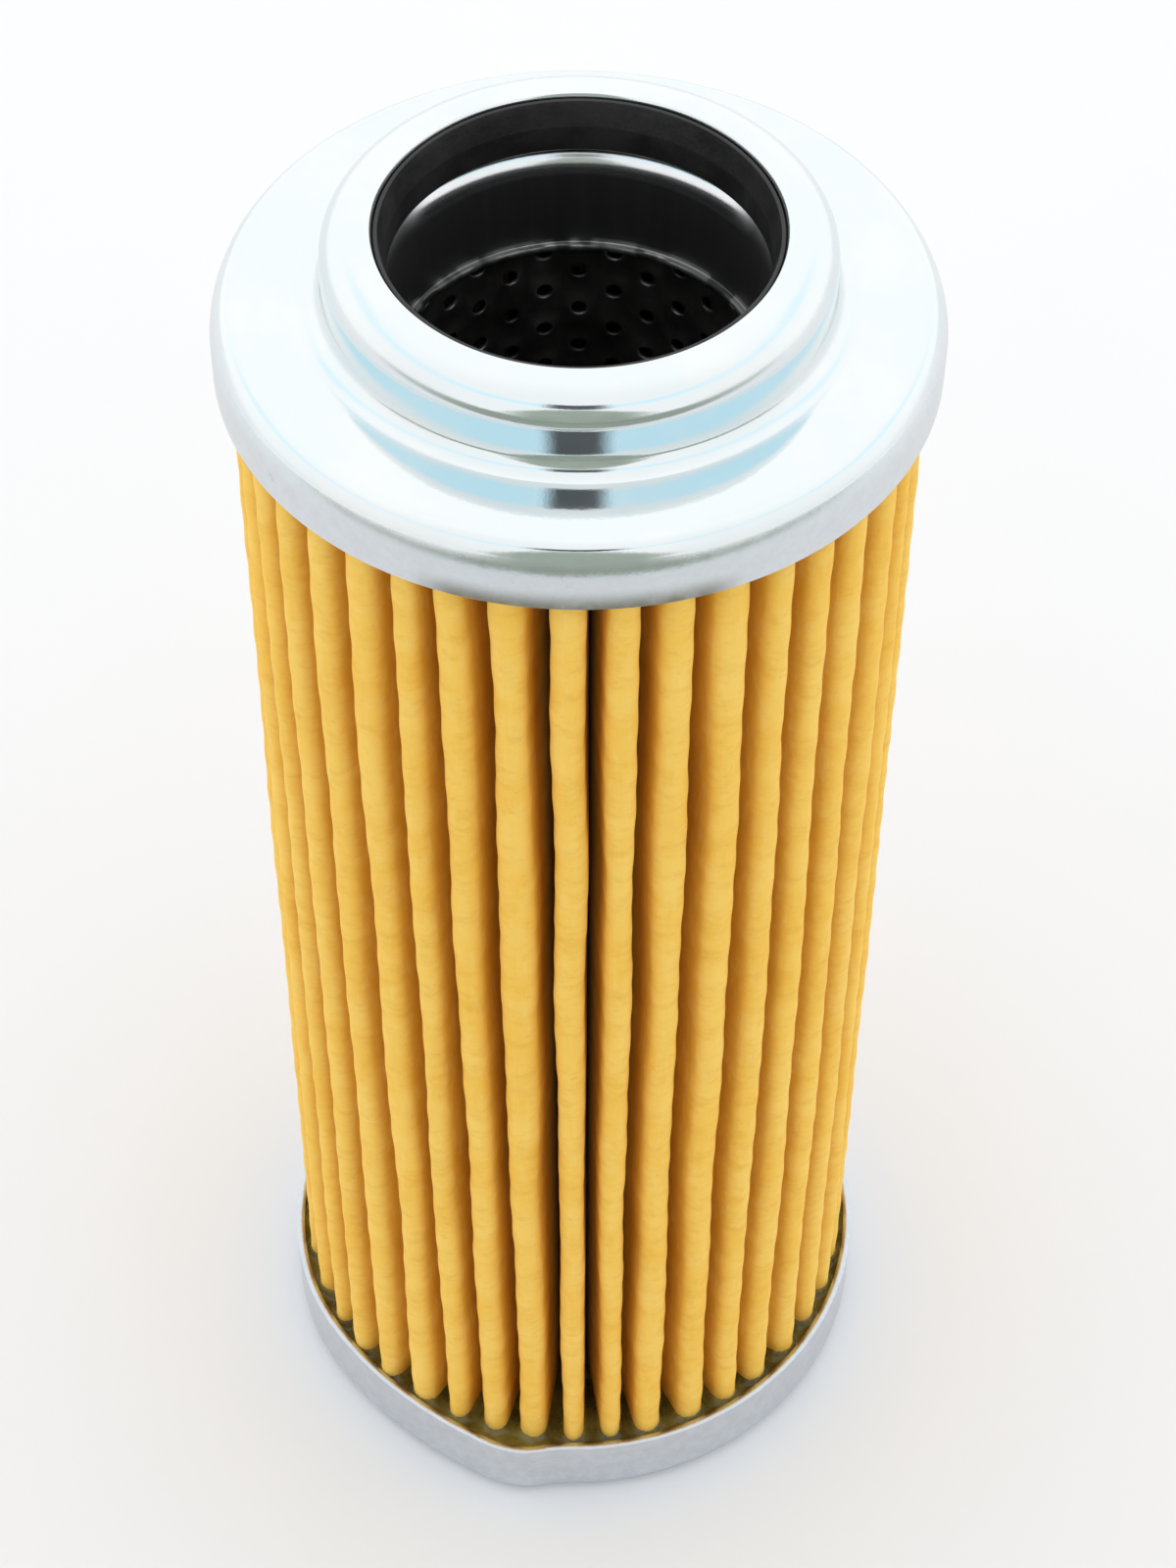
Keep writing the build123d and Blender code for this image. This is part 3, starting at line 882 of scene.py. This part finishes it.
def make_adhesive(finish, paper_pack):
    """The plug in the bottom cap, which fills it up to a little below its edge."""
    wall, level = cap_radius - cap_sheet - 0.01, bottom_edge - fill_below_edge
    corner = cap_corner - cap_sheet
    side = rounded([(tube_outside, cap_sheet, 0), (wall, cap_sheet, corner), (wall, level, 0)], 5)
    top = spaced([(wall, level), (tube_outside, level)], 0.25)[1:]

    def shape(r, z, azimuth):
        return r + wall_share(r) * (stand_out(azimuth) - clearance - 0.01), z

    piece = lathe("bottom_fill", side + top, 560, None, shape)
    return run_maker(piece, adhesive_tree(), {
        "Paper": paper_pack, "Level": level * MM, "Climb": 0.0009, "Reach": 0.0007,
        "Wall radius": wall * MM, "Adhesive": finish})


# Floor, light and camera ---------------------------------------------------------------------
def make_camera():
    """A long lens above and in front of the element. Its turns are in radians."""
    pitch, yaw, roll = 0.8576, 0.0057, 0.0091
    forward = Vector((sin(yaw) * cos(pitch), cos(yaw) * cos(pitch), -sin(pitch)))
    level = forward.cross(Vector((0, 0, 1))).normalized()
    upward = level.cross(forward)
    right = level * cos(roll) + upward * sin(roll)
    up = upward * cos(roll) - level * sin(roll)
    data = bpy.data.cameras.new("studio_camera")
    data.lens = 82.14
    data.sensor_width = 36.0
    camera = bpy.data.objects.new("studio_camera", data)
    turn = Matrix((right, up, -forward)).transposed().to_4x4()
    camera.matrix_world = Matrix.Translation((-0.000148, -0.19003, 0.28753)) @ turn
    bpy.context.scene.collection.objects.link(camera)
    bpy.context.scene.camera = camera


def make_floor():
    """A pale bench, a little darker towards its front as painted shade. What the metal mirrors
    of its far front end is a darker painted reflection.
    """
    finish = Finish("pale_floor", **{"Specular_IOR_Level": 0.1})
    # Painted shade: the bench is a little darker and bluer towards its front.
    shade = finish.ramp(finish.y, -0.15, 0.12)
    mottle = finish.noise(finish.place, 30.0, 3.0)
    tone = finish.blend(shade, colour(0.842, 0.868, 0.908), colour(0.866, 0.878, 0.896))
    tone = finish.blend(finish.ramp(mottle, 0.3, 0.7, 0.0, 0.05), tone, colour(0.76, 0.76, 0.76))
    # Painted reflection: only mirrored rays see the bench's far front end darker.
    mirrored = finish.node("ShaderNodeLightPath", {}).outputs["Is Glossy Ray"]
    painted_dark_front = finish.math("MULTIPLY", finish.ramp(finish.y, -0.24, -0.28), mirrored)
    tone = finish.blend(painted_dark_front, tone, colour(0.33, 0.37, 0.32))
    material = finish.finish(tone, 0.9, mottle, 0.0)
    rings, steps = [0.0, 0.1, 0.4, 1.5, 6.0], 64
    points = [(r * cos(t), r * sin(t), 0.0) for r in rings[1:]
              for t in np.arange(steps) * 2 * pi / steps]
    faces = [tuple(range(steps))]
    for ring in range(len(rings) - 2):
        for step in range(steps):
            after = (step + 1) % steps
            faces.append((ring * steps + step, (ring + 1) * steps + step,
                          (ring + 1) * steps + after, ring * steps + after))
    new_piece("floor", points, faces, material)


def make_sky():
    """A pale studio all round, with a light blue band halfway up its front and sides."""
    world = bpy.data.worlds.new("studio")
    bpy.context.scene.world = world
    world.use_nodes = True
    sky = Graph(world.node_tree)
    x, y, z = sky.separate(sky.node("ShaderNodeTexCoord", {}).outputs["Generated"])
    white = sky.blend(sky.ramp(y, -0.5, 0.6), colour(1.12, 1.12, 1.12), colour(1.22, 1.22, 1.22))
    band = sky.math("MULTIPLY", sky.ramp(z, 0.60, 0.65), sky.ramp(z, 0.76, 0.71))
    band = sky.math("MULTIPLY", band, sky.ramp(y, 0.69, 0.55))
    mirrored = sky.node("ShaderNodeLightPath", {}).outputs["Is Glossy Ray"]
    tone = sky.blend(sky.math("MULTIPLY", band, mirrored), white, colour(0.84, 1.12, 1.24))
    background = world.node_tree.nodes["Background"]
    sky.feed(background.inputs["Color"], tone)
    background.inputs["Strength"].default_value = 1.0


def make_flag(name, low, high, half_width, tone, taper):
    """A card in front of the element and behind the camera that its metal mirrors. low, high
    and half_width are angles in degrees as the element sees them."""
    distance, eye_height = 0.95, 0.118
    finish = Finish(name)
    patch = finish.noise(finish.place, 6.0, 3.0)
    patchy = finish.blend(patch, tone, tuple(c * 0.8 for c in tone))
    material = finish.finish(patchy, 0.9, patch, 0.0)
    soft = finish.node("ShaderNodeAttribute", {}, attribute_name="body").outputs["Fac"]
    finish.feed(finish.shader.inputs["Alpha"], finish.ramp(soft, 0.0, 1.0))
    columns, rows = 24, 6
    points, body = [], []
    for k in range(columns + 1):
        share = 2 * k / columns - 1
        azimuth = radians(half_width * share)
        top = low + (high - low) * (1 - taper * share * share)
        for row in range(rows + 1):
            elevation = radians(low + (top - low) * row / rows)
            points.append((distance * sin(azimuth), -distance * cos(azimuth),
                           eye_height + distance * sin(elevation) / cos(elevation)))
            body.append(min((1 - abs(share)) * 1.7, (rows - row) * 0.9 + 0.2, 1.0))
    faces = [(at, at + 1, at + rows + 2, at + rows + 1)
             for k in range(columns) for at in range(k * (rows + 1), k * (rows + 1) + rows)]
    card = new_piece(name, points, faces, material)
    mark_points(card, "body", body)
    card.visible_camera = False


# Assembly ------------------------------------------------------------------------------------
bpy.context.scene.view_settings.view_transform = "Standard"
make_camera()
make_sky()
make_floor()
make_flag("bench_flag", -6.0, 38.0, 38.0, colour(0.42, 0.47, 0.40), 1.13)
make_flag("camera_flag", 37.0, 50.0, 19.0, colour(0.10, 0.105, 0.11), 0.0)

bright_zinc = zinc_finish("bright_zinc", colour(0.745, 0.80, 0.815), colour(0.66, 0.68, 0.69),
                          (flange_top - cap_corner) * MM, (top_edge + 2.0) * MM)
satin_zinc = zinc_finish("satin_zinc", colour(0.745, 0.80, 0.815), colour(0.60, 0.625, 0.66),
                         1.0, -1.0)
pleats = pleat_tree()

adhesive = cap_adhesive_finish()
paper_pack = make_paper(pleats, filter_paper_finish())

pieces = [
    (make_top_cap(bright_zinc), "top_cap", "bright_zinc"),
    (make_bottom_cap(satin_zinc), "bottom_cap", "satin_zinc"),
    (make_seal(seal_rubber_finish()), "seal_ring", "seal_rubber"),
    (make_seat_ring(inner_steel_finish()), "seal_seat_ring", "inner_steel"),
    (make_tube(tube_steel_finish()), "core_tube", "tube_steel"),
    (paper_pack, "media_pack", "filter_paper"),
    (make_seam(pleats, seam_glue_finish()), "side_seam", "seam_glue"),
    (make_adhesive(adhesive, paper_pack), "bottom_adhesive", "cap_adhesive"),
]
for piece, node, slot in pieces:
    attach(piece, "root")
    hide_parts(node)

top_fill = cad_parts["top_adhesive"].data
top_fill.materials.clear()
top_fill.materials.append(adhesive)
